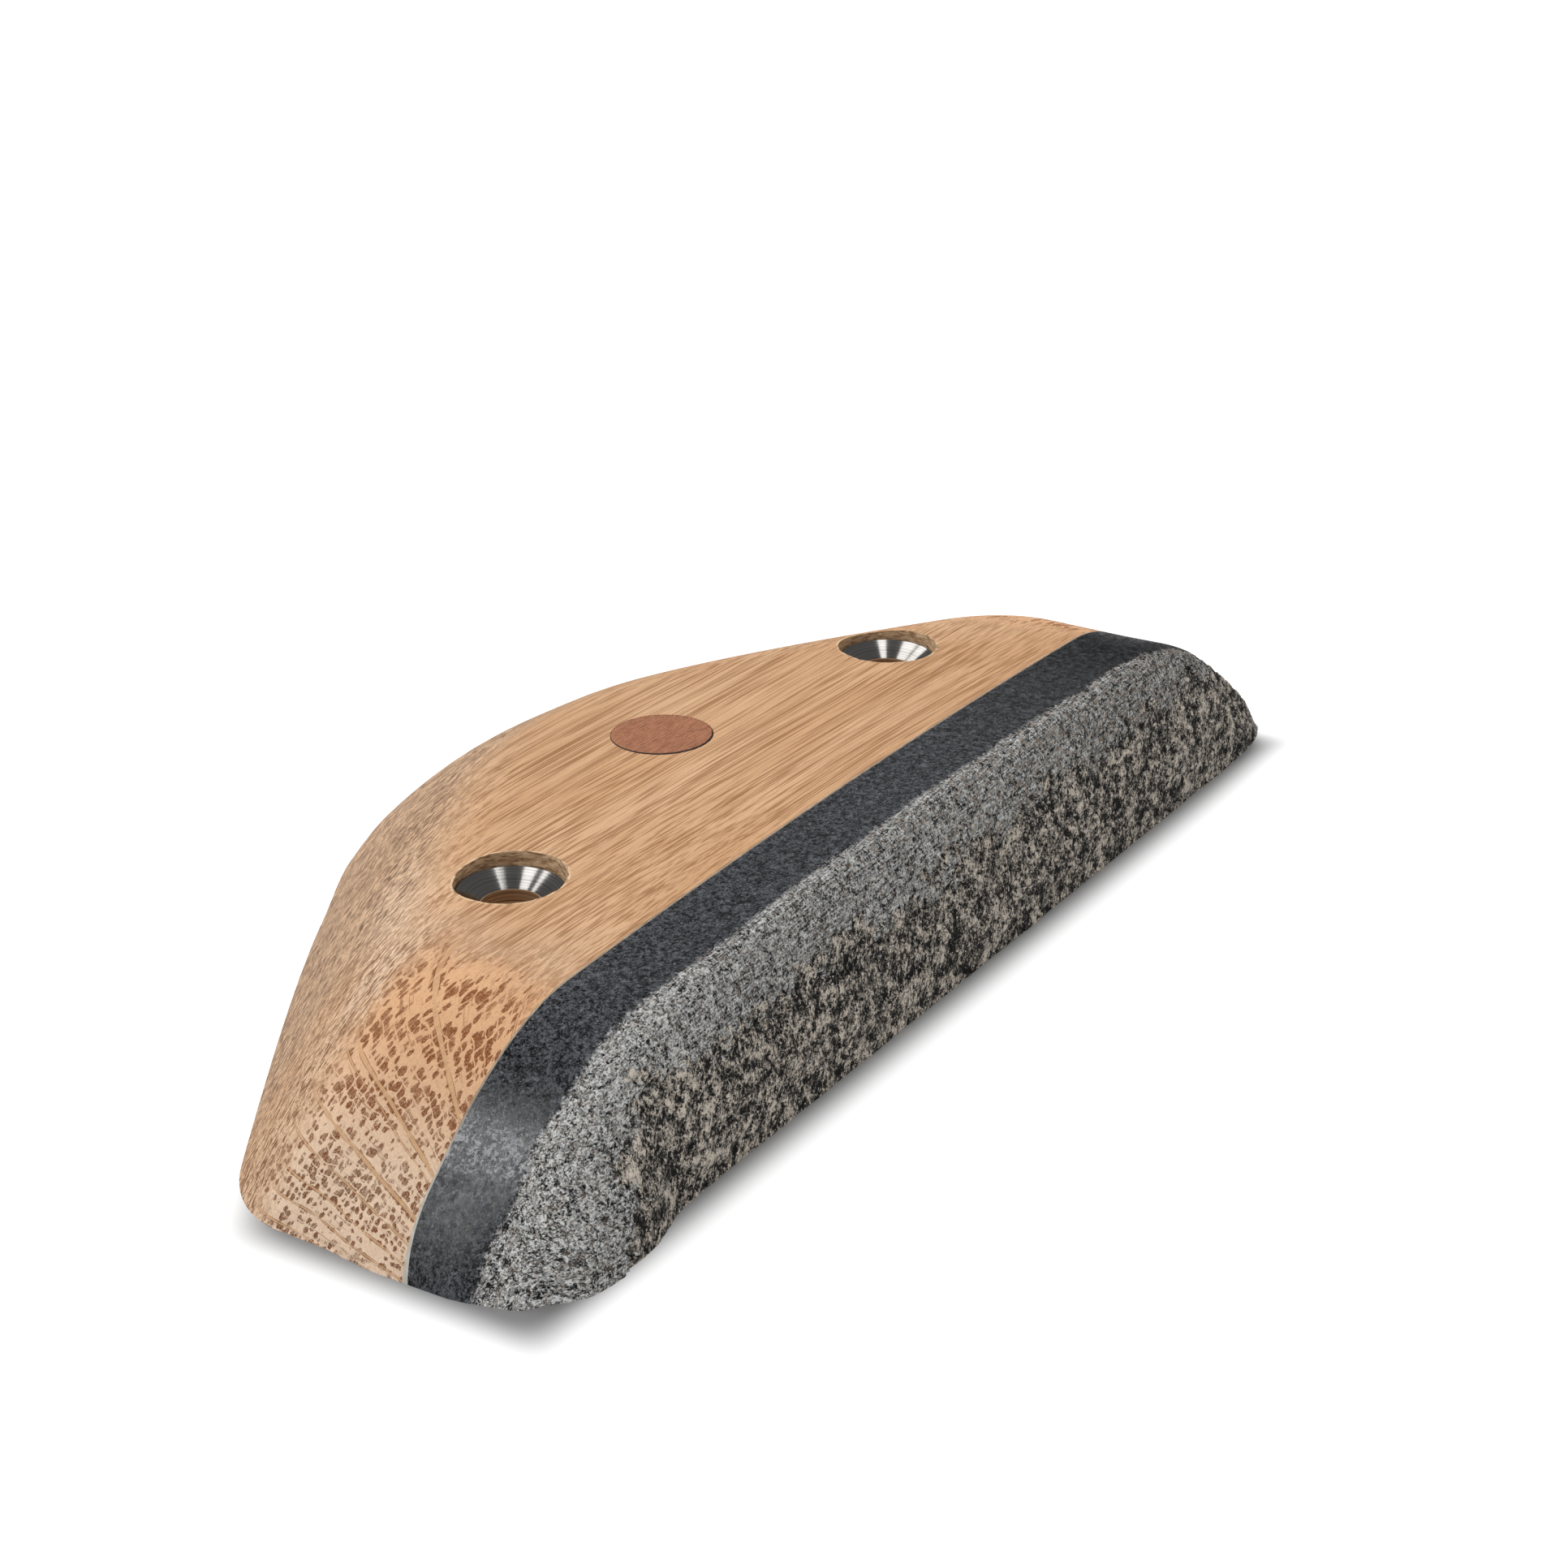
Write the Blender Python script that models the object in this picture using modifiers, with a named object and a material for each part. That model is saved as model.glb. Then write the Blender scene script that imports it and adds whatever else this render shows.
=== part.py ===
"""Climbing hold: an oak body with a stone gripping edge glued along its long straight side.

All sizes are in metres. The hold lies on its flat back, the face that goes against the wall.
+X runs along the hold, +Y from the stone edge to the blunt back corner, +Z away from the wall.
Depths are measured in Y from the foot of the stone edge. The origin is the middle of the back.
"""

import math

import bmesh
import bpy
from mathutils import Matrix, Vector

# Gap left between pieces that touch
FIT_GAP = 0.0003

# Outline on the wall
END_SPAN = 0.2657
END_FLARE = math.radians(2.0)
APEX_DEPTH = 0.1581
APEX_ROUNDING = 0.0371
BACK_ANGLE = math.radians(34.8)

# Slopes of the sides, measured from the wall
END_SLOPE = math.radians(52.9)
BACK_SLOPE = math.radians(57.2)
FRONT_SLOPE = math.radians(79.1)

# Top, which falls gently from the stone edge to the back and is crowned along the length
TOP_HEIGHT = 0.0328
TOP_FALL = math.radians(1.22)
CROWN_RADIUS = 2.19

# Height range over which two neighbouring surfaces are blended
CORNER_BLEND = 0.0198
FRONT_BLEND = 0.0374
TOP_BLEND = 0.0278

# Joint between stone and oak
STONE_DEPTH = 0.0269
ADHESIVE_THICKNESS = 0.0005
ADHESIVE_FRONT = STONE_DEPTH + FIT_GAP
ADHESIVE_BACK = ADHESIVE_FRONT + ADHESIVE_THICKNESS
OAK_FRONT = ADHESIVE_BACK + FIT_GAP

# Two countersunk bolts hold the piece to the wall, each on a turned cup washer
BOLT_SPACING = 0.127
BOLT_DEPTH = 0.0575
BOLT_HOLE_DIAMETER = 0.011
WASHER_DIAMETER = 0.0194
WASHER_BORE = 0.0108
WASHER_THICKNESS = 0.0048
WASHER_LAND = 0.0002
SEAT_CONE_DEPTH = 0.0024
WASHER_RECESS = 0.0025

# Inlaid disc, set in a blind pocket and sanded flush
INLAY_DIAMETER = 0.0196
INLAY_THICKNESS = 0.003
INLAY_DEPTH = 0.0695

# Fineness of the solids
SPOKES = 120
RINGS = 16
RING_CROWDING = 1.8
INNER_RING_SHARE = 0.15
OUTLINE_RAYS = 360
TURN_WEIGHT = 0.03
ROUND_STEPS = 48
SHARP_ANGLE = math.radians(30)
MERGE_DISTANCE = 0.00001

# How far a cutter runs past the face that it cuts
OVERRUN = 0.005


def blend_lower(first, second, blend):
    """Return the lower of two heights, rounded off where they differ by less than the blend."""
    nearness = max(blend - abs(first - second), 0.0) / blend
    return min(first, second) - nearness * nearness * blend / 4


def surface_height(x, depth):
    """Return the height of the sanded surface above the wall."""
    end_inset = (END_SPAN / 2 - abs(x)) * math.cos(END_FLARE) + depth * math.sin(END_FLARE)
    rounded_x = math.hypot(x, APEX_ROUNDING)
    back_inset = (APEX_DEPTH - depth) * math.cos(BACK_ANGLE) - rounded_x * math.sin(BACK_ANGLE)
    end = math.tan(END_SLOPE) * end_inset
    back = math.tan(BACK_SLOPE) * back_inset
    front = math.tan(FRONT_SLOPE) * depth
    top = TOP_HEIGHT - math.tan(TOP_FALL) * depth - x * x / (2 * CROWN_RADIUS)
    sides = blend_lower(blend_lower(end, back, CORNER_BLEND), front, FRONT_BLEND)
    return blend_lower(top, sides, TOP_BLEND)


def foot_distance(centre, direction):
    """Return how far the surface reaches from an inner point before it comes down to the wall."""
    inside = 0.0
    outside = END_SPAN + APEX_DEPTH
    for _ in range(60):
        middle = (inside + outside) / 2
        point = centre + direction * middle
        if surface_height(point.x, point.y) > 0:
            inside = middle
        else:
            outside = middle
    return inside


def wall_outline():
    """Return the outline on the wall, from the middle of the stone edge round by +X.

    Its points lie closer together where the outline turns, and match on both sides of X = 0.
    """
    inner_point = Vector((0, STONE_DEPTH))
    back_reach = STONE_DEPTH + foot_distance(inner_point, Vector((0, 1)))
    centre = Vector((0, back_reach / 2))
    fine = []
    for ray in range(OUTLINE_RAYS + 1):
        angle = math.pi * ray / OUTLINE_RAYS - math.pi / 2
        direction = Vector((math.cos(angle), math.sin(angle)))
        fine.append(centre + direction * foot_distance(centre, direction))
    travelled = [0.0]
    heading = Vector((1, 0))
    for start, end in zip(fine, fine[1:]):
        stretch = end - start
        travelled.append(travelled[-1] + stretch.length + TURN_WEIGHT * stretch.angle(heading))
        heading = stretch
    half = []
    segment = 0
    for spoke in range(SPOKES // 2 + 1):
        wanted = travelled[-1] * spoke / (SPOKES // 2)
        while segment < len(fine) - 2 and travelled[segment + 1] < wanted:
            segment += 1
        share = (wanted - travelled[segment]) / (travelled[segment + 1] - travelled[segment])
        half.append(fine[segment].lerp(fine[segment + 1], share))
    mirrored = [Vector((-point.x, point.y)) for point in reversed(half[1:-1])]
    return half + mirrored


def blank_mesh(outline, middle_depth):
    """Loft the whole sanded blank, stone and oak together, from the outline up to the top."""
    shape = bmesh.new()
    middle = Vector((0, middle_depth))
    rings = []
    for step in range(RINGS + 1):
        inset = (1 - INNER_RING_SHARE) * (step / RINGS) ** RING_CROWDING
        ring = []
        for foot in outline:
            point = foot.lerp(middle, inset)
            height = surface_height(point.x, point.y) if step else 0.0
            ring.append(shape.verts.new((point.x, point.y, height)))
        rings.append(ring)
    crown = shape.verts.new((0, middle_depth, surface_height(0, middle_depth)))
    for lower, upper in zip(rings, rings[1:]):
        for index in range(len(lower)):
            after = (index + 1) % len(lower)
            shape.faces.new((lower[index], lower[after], upper[after], upper[index]))
    for index, corner in enumerate(rings[-1]):
        shape.faces.new((corner, rings[-1][(index + 1) % SPOKES], crown))
    shape.faces.new(list(reversed(rings[0])))
    return finished_mesh(shape, "blank")


def box_mesh(low, high):
    """Return a box between two corners."""
    size = Vector(high) - Vector(low)
    middle = (Vector(high) + Vector(low)) / 2
    shape = bmesh.new()
    bmesh.ops.create_cube(shape, size=1, matrix=Matrix.Translation(middle) @ Matrix.Diagonal((*size, 1)))
    return finished_mesh(shape, "box")


def cylinder_mesh(diameter, bottom, top):
    """Return an upright cylinder on its own axis, between two heights."""
    shape = bmesh.new()
    bmesh.ops.create_cone(shape, cap_ends=True, segments=ROUND_STEPS, radius1=diameter / 2,
                          radius2=diameter / 2, depth=top - bottom,
                          matrix=Matrix.Translation((0, 0, (top + bottom) / 2)))
    return finished_mesh(shape, "cylinder")


def finished_mesh(shape, name):
    """Turn a bmesh into a mesh that is shaded smooth between its sharp edges."""
    mesh = bpy.data.meshes.new(name)
    shape.to_mesh(mesh)
    shape.free()
    mesh.shade_smooth()
    mesh.set_sharp_from_angle(angle=SHARP_ANGLE)
    return mesh


def plain_material(name, colour, roughness, metallic=0.0):
    """Return a Principled material of one colour."""
    material = bpy.data.materials.new(name)
    material.use_nodes = True
    shader = material.node_tree.nodes["Principled BSDF"]
    shader.inputs["Base Color"].default_value = (*colour, 1)
    shader.inputs["Roughness"].default_value = roughness
    shader.inputs["Metallic"].default_value = metallic
    return material


def add_object(name, mesh, collection, parent, material=None):
    """Put a mesh in a collection, under the empty that stands at the foot of the stone edge."""
    thing = bpy.data.objects.new(name, mesh)
    collection.objects.link(thing)
    thing.parent = parent
    if material:
        mesh.materials.append(material)
    return thing


def add_cutter(name, mesh, collection, parent, place=(0, 0, 0)):
    """Add a shape that only cuts other pieces."""
    cutter = add_object(name, mesh, collection, parent)
    cutter.location = place
    cutter.hide_render = True
    cutter.display_type = "WIRE"
    return cutter


def cut(piece, cutter, operation="DIFFERENCE"):
    """Cut a piece with another shape."""
    modifier = piece.modifiers.new(cutter.name, "BOOLEAN")
    modifier.operation = operation
    modifier.object = cutter


def slab(name, front, back, cutters, parent):
    """Add a cutter between two depths, which runs well past both ends of the hold."""
    low = (-END_SPAN, front, -OVERRUN)
    high = (END_SPAN, back, TOP_HEIGHT + OVERRUN)
    return add_cutter(name, box_mesh(low, high), cutters, parent)


def bolt_places():
    """Return each bolt's side and its place on the wall."""
    return (("left", Vector((-BOLT_SPACING / 2, BOLT_DEPTH, 0))),
            ("right", Vector((BOLT_SPACING / 2, BOLT_DEPTH, 0))))


def washer_top(place):
    """Return the height of a washer's rim, sunk below the surface round it."""
    return surface_height(place.x, place.y) - WASHER_RECESS


def add_stone_edge(blank, pieces, cutters, parent):
    """Stone strip that the fingers hold, from the foot back to the joint."""
    stone = add_object("stone_edge", blank.copy(), pieces, parent,
                       plain_material("granite", (0.07, 0.075, 0.08), 0.6))
    cut(stone, slab("behind_stone", STONE_DEPTH, APEX_DEPTH + OVERRUN, cutters, parent))


def add_adhesive_layer(blank, pieces, cutters, parent):
    """Thin pale sheet of adhesive between stone and oak."""
    layer = add_object("adhesive_layer", blank.copy(), pieces, parent,
                       plain_material("adhesive", (0.72, 0.7, 0.66), 0.55))
    cut(layer, slab("adhesive_slab", ADHESIVE_FRONT, ADHESIVE_BACK, cutters, parent), "INTERSECT")


def add_oak_body(blank, pieces, cutters, parent):
    """Oak body with its stepped bolt holes and the blind pocket for the inlay."""
    body = add_object("oak_body", blank.copy(), pieces, parent,
                      plain_material("oak", (0.62, 0.4, 0.22), 0.55))
    cut(body, slab("before_oak", -OVERRUN, OAK_FRONT, cutters, parent))
    above = TOP_HEIGHT + OVERRUN
    for side, place in bolt_places():
        floor = washer_top(place) - WASHER_THICKNESS - FIT_GAP
        recess = cylinder_mesh(WASHER_DIAMETER + 2 * FIT_GAP, floor, above)
        hole = cylinder_mesh(BOLT_HOLE_DIAMETER, -OVERRUN, above)
        cut(body, add_cutter("washer_recess_" + side, recess, cutters, parent, place))
        cut(body, add_cutter("bolt_hole_" + side, hole, cutters, parent, place))
    floor = surface_height(0, INLAY_DEPTH) - INLAY_THICKNESS - FIT_GAP
    pocket = cylinder_mesh(INLAY_DIAMETER + 2 * FIT_GAP, floor, above)
    cut(body, add_cutter("inlay_pocket", pocket, cutters, parent, (0, INLAY_DEPTH, 0)))


def turned_mesh(profile, collection):
    """Turn a closed profile of radii and heights, which runs down its outer side, round Z."""
    outline = bpy.data.meshes.new("turned_profile")
    points = [(radius, 0, height) for radius, height in profile]
    edges = [(index, (index + 1) % len(points)) for index in range(len(points))]
    outline.from_pydata(points, edges, [])
    lathe = bpy.data.objects.new("lathe", outline)
    collection.objects.link(lathe)
    turn = lathe.modifiers.new("turned", "SCREW")
    turn.steps = ROUND_STEPS
    turn.render_steps = ROUND_STEPS
    turn.use_merge_vertices = True
    turn.merge_threshold = MERGE_DISTANCE
    mesh = bpy.data.meshes.new_from_object(lathe.evaluated_get(bpy.context.evaluated_depsgraph_get()))
    bpy.data.objects.remove(lathe, do_unlink=True)
    mesh.shade_smooth()
    mesh.set_sharp_from_angle(angle=SHARP_ANGLE)
    return mesh


def add_washers(pieces, parent):
    """Turned steel cup washers, each with a conical seat for a countersunk bolt head."""
    outer = WASHER_DIAMETER / 2
    bore = WASHER_BORE / 2
    mesh = turned_mesh(((outer, 0), (outer, -WASHER_THICKNESS), (bore, -WASHER_THICKNESS),
                        (bore, -SEAT_CONE_DEPTH), (outer - WASHER_LAND, 0)), pieces)
    mesh.materials.append(plain_material("washer_steel", (0.5, 0.5, 0.5), 0.25, 1.0))
    for side, place in bolt_places():
        washer = add_object("cup_washer_" + side, mesh, pieces, parent)
        washer.location = place + Vector((0, 0, washer_top(place)))


def add_inlay_disc(blank_guide, pieces, parent):
    """Thin disc of darker wood, planed to the same surface as the body round it."""
    surface = surface_height(0, INLAY_DEPTH)
    uncut = cylinder_mesh(INLAY_DIAMETER, surface - INLAY_THICKNESS, surface + OVERRUN)
    disc = add_object("inlay_disc", uncut, pieces, parent,
                      plain_material("inlay_wood", (0.3, 0.13, 0.08), 0.5))
    disc.location = (0, INLAY_DEPTH, 0)
    cut(disc, blank_guide, "INTERSECT")


def clear_scene():
    """Remove every object that the scene starts with."""
    for thing in list(bpy.data.objects):
        bpy.data.objects.remove(thing, do_unlink=True)


def new_collection(name):
    """Return a new collection in the scene."""
    collection = bpy.data.collections.new(name)
    bpy.context.scene.collection.children.link(collection)
    return collection


def build_hold():
    """Build every piece of the hold."""
    clear_scene()
    pieces = new_collection("climbing_hold")
    cutters = new_collection("climbing_hold_cutters")
    outline = wall_outline()
    depths = [foot.y for foot in outline]
    middle_depth = (min(depths) + max(depths)) / 2
    foot_line = bpy.data.objects.new("stone_foot_line", None)
    foot_line.location = (0, -middle_depth, 0)
    pieces.objects.link(foot_line)
    blank = blank_mesh(outline, middle_depth)
    blank_guide = add_cutter("blank_guide", blank.copy(), cutters, foot_line)
    add_oak_body(blank, pieces, cutters, foot_line)
    add_stone_edge(blank, pieces, cutters, foot_line)
    add_adhesive_layer(blank, pieces, cutters, foot_line)
    add_washers(pieces, foot_line)
    add_inlay_disc(blank_guide, pieces, foot_line)
    bpy.data.meshes.remove(blank)


build_hold()
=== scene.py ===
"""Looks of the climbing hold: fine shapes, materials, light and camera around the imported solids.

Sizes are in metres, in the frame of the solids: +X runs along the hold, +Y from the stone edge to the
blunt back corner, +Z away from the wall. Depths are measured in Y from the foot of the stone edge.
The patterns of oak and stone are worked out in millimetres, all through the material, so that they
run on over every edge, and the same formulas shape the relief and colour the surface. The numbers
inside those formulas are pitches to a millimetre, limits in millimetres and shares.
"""

import itertools
import math

import bpy
import numpy as np
from mathutils import Matrix, Vector


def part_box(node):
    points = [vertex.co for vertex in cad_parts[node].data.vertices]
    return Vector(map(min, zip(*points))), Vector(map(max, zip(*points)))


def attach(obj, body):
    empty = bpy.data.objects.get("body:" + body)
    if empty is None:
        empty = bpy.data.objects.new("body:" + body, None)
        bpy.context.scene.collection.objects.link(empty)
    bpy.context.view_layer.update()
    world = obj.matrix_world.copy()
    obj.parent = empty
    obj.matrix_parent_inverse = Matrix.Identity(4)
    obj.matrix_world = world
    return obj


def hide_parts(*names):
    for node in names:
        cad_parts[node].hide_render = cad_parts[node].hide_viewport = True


MM = 0.001

# Depth of the frame's origin
MIDDLE_DEPTH = 0.06616

# Sanded surface, which stays within 2 mm of the solids
END_SPAN = 0.2671
END_FLARE = math.radians(1.28)
APEX_DEPTH = 0.1565
APEX_ROUNDING = 0.0386
BACK_ANGLE = math.radians(34.3)
END_SLOPE = math.radians(51.6)
BACK_SLOPE = math.radians(58.4)
FRONT_SLOPE = math.radians(79.1)
TOP_HEIGHT = 0.0328
TOP_FALL = math.radians(1.22)
CROWN_RADIUS = 2.19
CORNER_BLEND = 0.0159
FRONT_BLEND = 0.0374
TOP_BLEND = 0.0278

# Joint between stone and oak, where the fine pieces close up the gaps of the solids
STONE_BACK = 0.02725
OAK_FRONT = 0.02765
JOINT_LEAN = 0.0024
JOINT_LEAN_HEIGHT = 0.011
JOINT_LEAN_REACH = 0.013
JOINT_OPENING = 0.0007
JOINT_OPENING_EDGE = 0.0001

# Departures of the worn hold from an even blank
END_SWELL = 0.0014
END_SWELL_HEIGHT = 0.016
CORNER_LOSS = 0.0024
FRONT_SWELL = 0.0032
RIGHT_SWELL = 0.0014
BACK_LEAN = 0.0029
BACK_LEAN_LEVEL = 0.017
BACK_LEAN_LIMIT = 0.0017

# How those departures fade in, each by a smooth step from its first place to its second
END_SWELL_ENDS = (0.09, 0.125)
END_SWELL_FRONT = (0.008, 0.018)
END_SWELL_BACK = (0.045, 0.032)
CORNER_LOSS_DEPTHS = (0.013, -0.002)
RIGHT_SWELL_END = (0.085, 0.12)
RIGHT_SWELL_DEPTHS = (0.026, 0.010)
JOINT_LEAN_END = (0.095, 0.12)
FRONT_SWELL_START = (0.092, 0.112)
FRONT_SWELL_STOP = (0.133, 0.124)
FRONT_SWELL_HEIGHTS = (0.022, 0.004)
FRONT_SWELL_DEPTHS = (0.010, 0.001)
BACK_LEAN_LEFT = (-0.048, -0.022)
BACK_LEAN_RIGHT = (0.032, 0.006)
BACK_LEAN_DEPTHS = (0.090, 0.106)

# Recesses, with a chipped brim round a rough wall, and bolt holes
RECESS_DIAMETER = 0.0199
RECESS_FLARE = 0.0006
BRIM_WIDENING = 0.0001
BRIM_ROUGHNESS = 0.0002
BRIM_ABOVE = 0.0003
BRIM_BELOW = 0.0002
WALL_ROUGHNESS = 0.00012
WALL_ROWS = 9
WALL_ROUGH_STOP = 0.0003
WALL_EVEN_START = 0.0004
FLOOR_GAP = 0.0001
ROUGH_WAVES = range(2, 40)
RECESS_SEED = 3
BOLT_HOLE_DIAMETER = 0.011

# Washers
WASHER_DIAMETER = 0.0194
WASHER_BORE = 0.0108
WASHER_EDGE = 0.00015
SEAT_CONE_DEPTH = 0.0024
SEAT_STEPS = 16

# Inlay, whose rim is serrated by waves of a height, a count and a shift
INLAY_DEPTH = 0.0695
INLAY_DIAMETER = 0.0194
INLAY_POCKET_DIAMETER = 0.0196
INLAY_THICKNESS = 0.003
INLAY_GAP = 0.0002
INLAY_RIM_DROP = 0.00008
INLAY_STEPS = 480
INLAY_ROWS = 24
INLAY_SHARP_ANGLE = math.radians(50)
SERRATIONS = ((0.00007, 76, 0), (0.00003, 33, 1))

# Fineness of the meshes
SPOKES = 1536
RINGS = 300
HALVED_AT = (0.5, 0.75, 0.875, 0.9375)
OUTLINE_RAYS = 7200
OUTLINE_HALVINGS = 50
SPOKE_SAMPLES = 500
ROUND_STEPS = 192
SHARP_ANGLE = math.radians(30)
SURFACE_TOLERANCE = 0.00005
FOOT_TOLERANCE = 0.00001

# How far a cutter runs past what it cuts
OVERRUN = 0.005

# Oak, in millimetres: growth rings round a heart below and in front of the hold, broad rays, each given
# as its height at the joint and half its thickness, and the pitch of the dark blocks between small rays
HEART_DEPTH = -24.0
HEART_HEIGHT = -10.0
RING_LEAN = 0.024
RAYS = ((30.4, 0.12), (27.9, 0.15), (25.9, 0.10), (17.6, 0.26), (11.6, 0.22), (10.6, 0.05), (6.8, 0.19),
        (4.1, 0.07), (1.9, 0.09), (0.1, 0.05), (-1.9, 0.08), (-3.4, 0.05))
BLOCK_DEPTH = 1.12
BLOCK_WIDTH = 0.84
BLOCK_LENGTH = 10.0

# Stone, in millimetres: where the honed band gives way to the ground one, and how high the split reaches
GROUND_DEPTH = 12.9
GROUND_EDGE = 0.6
SPLIT_HEIGHT = 22.0

# Floor, and the reach of its painted shadow past the foot of the hold, in millimetres
FLOOR_REACH = 4.0
FLOOR_WHITE = (0.95, 0.95, 0.95, 1)
FLOOR_GREY = (0.50, 0.50, 0.50, 1)
FLOOR_GLOW = 0.85
SHADOW_LEFT = 5.0
SHADOW_FRONT = 2.5
SHADOW_RIGHT = -6.0
SHADOW_BACK = -3.0
SHADOW_BLUR = 4.5
SHADOW_ROUNDING = 8.0

# Dark cards, and the strength of the world's light
CARD_RADIUS = 1.6
CARD_TOP = math.radians(89)
CARD_BOTTOM = math.radians(3)
CARD_ROWS = 24
CARD_STEPS = 64
CARD_GREY = 0.20
AMBIENT = 0.34

# Lamps, each a direction, a distance, a width, a height and a radiance
RIGHT_BOX = ((0.45, 0.42, 0.79), 1.2, 0.7, 0.5, 4.0)
LEFT_BOX = ((-0.42, 0.515, 0.745), 1.2, 0.17, 0.3, 22.0)
LEFT_BOX_AIM = (-0.116, -0.05, 0.019)
LEFT_BOX_ALONG = (0.9, 0.3, 0.29)
FRONT_BOX = ((-0.65, -0.62, 0.44), 1.2, 0.6, 0.4, 4.0)
STRIPS = (((0.219, -0.073, 0.974), 1.0, 0.3, 0.165, 3.0),
          ((0.019, 0.411, 0.912), 1.0, 0.6, 0.23, 3.0),
          ((0.145, 0.669, 0.730), 1.0, 0.6, 0.14, 3.0))
STRIP_AIM = (-0.0635, -0.0087, 0.026)
STRIP_ALONG = (0.846, 0.534, 0)

# Camera, from the photograph
CAMERA_PLACE = (-0.44120, -0.30237, 0.26393)
CAMERA_YAW = math.radians(32.2493)
CAMERA_PITCH = math.radians(24.3627)
CAMERA_ROLL = math.radians(-0.1845)
CAMERA_LENS = 70.97
CAMERA_NEAR = 0.01


def srgb(red, green, blue):
    """Return a linear colour from the 0 to 255 values of a picture."""
    shares = [channel / 255 for channel in (red, green, blue)]
    return tuple(s / 12.92 if s <= 0.04045 else ((s + 0.055) / 1.055) ** 2.4 for s in shares) + (1.0,)


# Sanded surface


def blend_lower(first, second, blend):
    """Return the lower of two heights, rounded off where they differ by less than the blend."""
    nearness = np.maximum(blend - np.abs(first - second), 0.0) / blend
    return np.minimum(first, second) - nearness * nearness * blend / 4


def surface_height(x, depth):
    """Return the height of the sanded surface above the wall."""
    end_inset = (END_SPAN / 2 - np.abs(x)) * math.cos(END_FLARE) + depth * math.sin(END_FLARE)
    rounded_x = np.hypot(x, APEX_ROUNDING)
    back_inset = (APEX_DEPTH - depth) * math.cos(BACK_ANGLE) - rounded_x * math.sin(BACK_ANGLE)
    end = math.tan(END_SLOPE) * end_inset
    back = math.tan(BACK_SLOPE) * back_inset
    front = math.tan(FRONT_SLOPE) * depth
    top = TOP_HEIGHT - math.tan(TOP_FALL) * depth - x * x / (2 * CROWN_RADIUS)
    sides = blend_lower(blend_lower(end, back, CORNER_BLEND), front, FRONT_BLEND)
    return blend_lower(top, sides, TOP_BLEND)


def surface_normal(x, depth):
    """Return the outward direction of the sanded surface."""
    step = 0.00002
    slope_x = (surface_height(x + step, depth) - surface_height(x - step, depth)) / (2 * step)
    slope_y = (surface_height(x, depth + step) - surface_height(x, depth - step)) / (2 * step)
    normal = np.stack((-slope_x, -slope_y, np.ones_like(slope_x)), axis=-1)
    return normal / np.linalg.norm(normal, axis=-1, keepdims=True)


def wall_outline():
    """Return the outline on the wall as evenly spaced points, one for each spoke."""
    angles = np.linspace(0, 2 * math.pi, OUTLINE_RAYS + 1) - math.pi / 2
    directions = np.stack((np.cos(angles), np.sin(angles)), axis=-1)
    inside = np.zeros(len(angles))
    outside = np.full(len(angles), END_SPAN)
    for _ in range(OUTLINE_HALVINGS):
        reach = (inside + outside) / 2
        on_hold = surface_height(directions[:, 0] * reach, MIDDLE_DEPTH + directions[:, 1] * reach) > 0
        inside = np.where(on_hold, reach, inside)
        outside = np.where(on_hold, outside, reach)
    points = directions * inside[:, None]
    travelled = np.concatenate(([0], np.cumsum(np.linalg.norm(np.diff(points, axis=0), axis=1))))
    wanted = travelled[-1] * np.arange(SPOKES) / SPOKES
    return np.stack([np.interp(wanted, travelled, points[:, axis]) for axis in (0, 1)], axis=-1)


def loft_points(outline):
    """Return rings of points from the foot to the middle, evenly spaced along each spoke."""
    shares = np.linspace(0, 1, SPOKE_SAMPLES) ** 2
    plan = outline[:, None, :] * (1 - shares[None, :, None])
    heights = surface_height(plan[..., 0], MIDDLE_DEPTH + plan[..., 1])
    heights[:, 0] = 0
    steps = np.hypot(np.linalg.norm(np.diff(plan, axis=1), axis=2), np.diff(heights, axis=1))
    travelled = np.concatenate((np.zeros((SPOKES, 1)), np.cumsum(steps, axis=1)), axis=1)
    places = np.linspace(0, 1, RINGS + 1)
    share_at = np.stack([np.interp(places * way[-1], way, shares) for way in travelled])
    plan = outline[:, None, :] * (1 - share_at[..., None])
    heights = surface_height(plan[..., 0], MIDDLE_DEPTH + plan[..., 1])
    heights[:, 0] = 0
    return np.concatenate((plan, heights[..., None]), axis=-1)


def blank_mesh():
    """Loft the whole sanded blank, with half as many spokes each time the rings have closed in."""
    points = loft_points(wall_outline())
    halvings = [round(share * RINGS) for share in HALVED_AT]
    vertices = []
    faces = []
    lower = None
    stride = 1
    for ring in range(RINGS):
        if ring in halvings:
            stride *= 2
        count = SPOKES // stride
        upper = len(vertices) + np.arange(count)
        vertices.extend(points[::stride, ring].tolist())
        if lower is None:
            faces.append(upper[::-1].tolist())
        elif len(lower) == count:
            ahead = np.roll(lower, -1), np.roll(upper, -1)
            faces.extend(np.stack((lower, ahead[0], ahead[1], upper), axis=1).tolist())
        else:
            even, odd, after = lower[0::2], lower[1::2], np.roll(lower[0::2], -1)
            ahead = np.roll(upper, -1)
            faces.extend(np.stack((even, odd, upper), axis=1).tolist())
            faces.extend(np.stack((odd, ahead, upper), axis=1).tolist())
            faces.extend(np.stack((odd, after, ahead), axis=1).tolist())
        lower = upper
    vertices.append(points[0, RINGS].tolist())
    crown = np.full(len(lower), len(vertices) - 1)
    faces.extend(np.stack((lower, np.roll(lower, -1), crown), axis=1).tolist())
    return new_mesh("blank", vertices, faces)


# Meshes


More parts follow.
